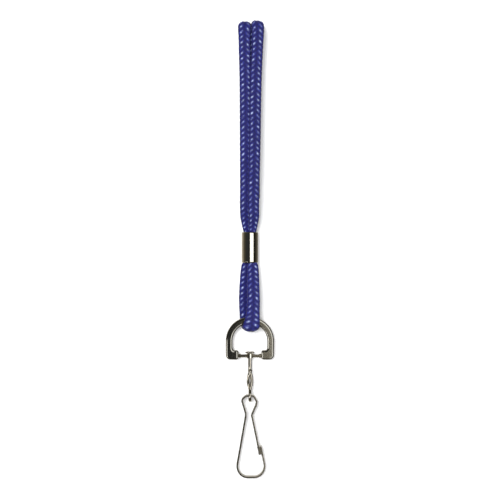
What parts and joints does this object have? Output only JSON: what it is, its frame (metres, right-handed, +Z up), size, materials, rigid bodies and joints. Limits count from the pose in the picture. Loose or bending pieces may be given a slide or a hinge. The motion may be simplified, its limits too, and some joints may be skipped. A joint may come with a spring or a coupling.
{
  "type": "neck lanyard",
  "caption": "Flat braided neck cord folded in a hank, crimped in a metal sleeve, with a D-ring, a swivel link and a sprung snap hook.",
  "frame": {"origin": "middle of the footprint, on the surface the lanyard lies on", "axes": "+Y along the lanyard from the hook to the fold of the cord, +X across it, +Z up from the surface"},
  "size_m": [0.0206, 0.195, 0.0097],
  "materials": {
    "cord": "flat tubular knitted polyester cord, royal blue with pale flecks",
    "cord_ends": "cord squeezed inside the sleeve, its two ends cut and heat sealed",
    "tie": "thin dark elastic band",
    "ferrule_metal": "bright nickel plating on rolled steel",
    "ring_metal": "bright nickel plating on a die casting",
    "bar_metal": "bright nickel plating on steel",
    "link_metal": "bright nickel plating on steel wire",
    "hook_metal": "bright nickel plating on spring steel strip",
    "gate_metal": "bright nickel plating on spring steel strip"
  },
  "bodies": {
    "cord": {"cord_leg_left": "cord", "cord_leg_right": "cord", "cord_bight": "cord", "cord_hank": "cord", "hank_tie": "tie", "crimp_ferrule": "ferrule_metal", "crimped_strands": "cord_ends"},
    "ring": {"d_ring": "ring_metal"},
    "bar": {"swivel_bar": "bar_metal"},
    "link": {"swivel_link": "link_metal"},
    "hook": {"hook_body": "hook_metal"},
    "gate": {"hook_gate": "gate_metal"}
  },
  "joints": [
    {"name": "ring_swing", "type": "hinge", "parent": "cord", "child": "ring", "pos_m": [0, -0.03045, 0.00422], "axis": [1, 0, 0], "range_deg": [-75, 75]},
    {"name": "bar_pivot", "type": "hinge", "parent": "ring", "child": "bar", "pos_m": [0, -0.04523, 0.00282], "axis": [1, 0, 0], "range_deg": [-40, 40]},
    {"name": "link_spin", "type": "hinge", "parent": "bar", "child": "link", "pos_m": [0, -0.04523, 0.00282], "axis": [0, 1, 0], "continuous": true},
    {"name": "hook_swing", "type": "hinge", "parent": "link", "child": "hook", "pos_m": [0, -0.0622, 0.00282], "axis": [1, 0, 0], "range_deg": [-75, 75]},
    {"name": "gate_flex", "type": "hinge", "parent": "hook", "child": "gate", "pos_m": [0.00085, -0.0707, 0.00255], "axis": [0, -0.0319, 0.9995], "range_deg": [-18, 0], "stiffness_Nm_per_rad": 0.15}
  ]
}
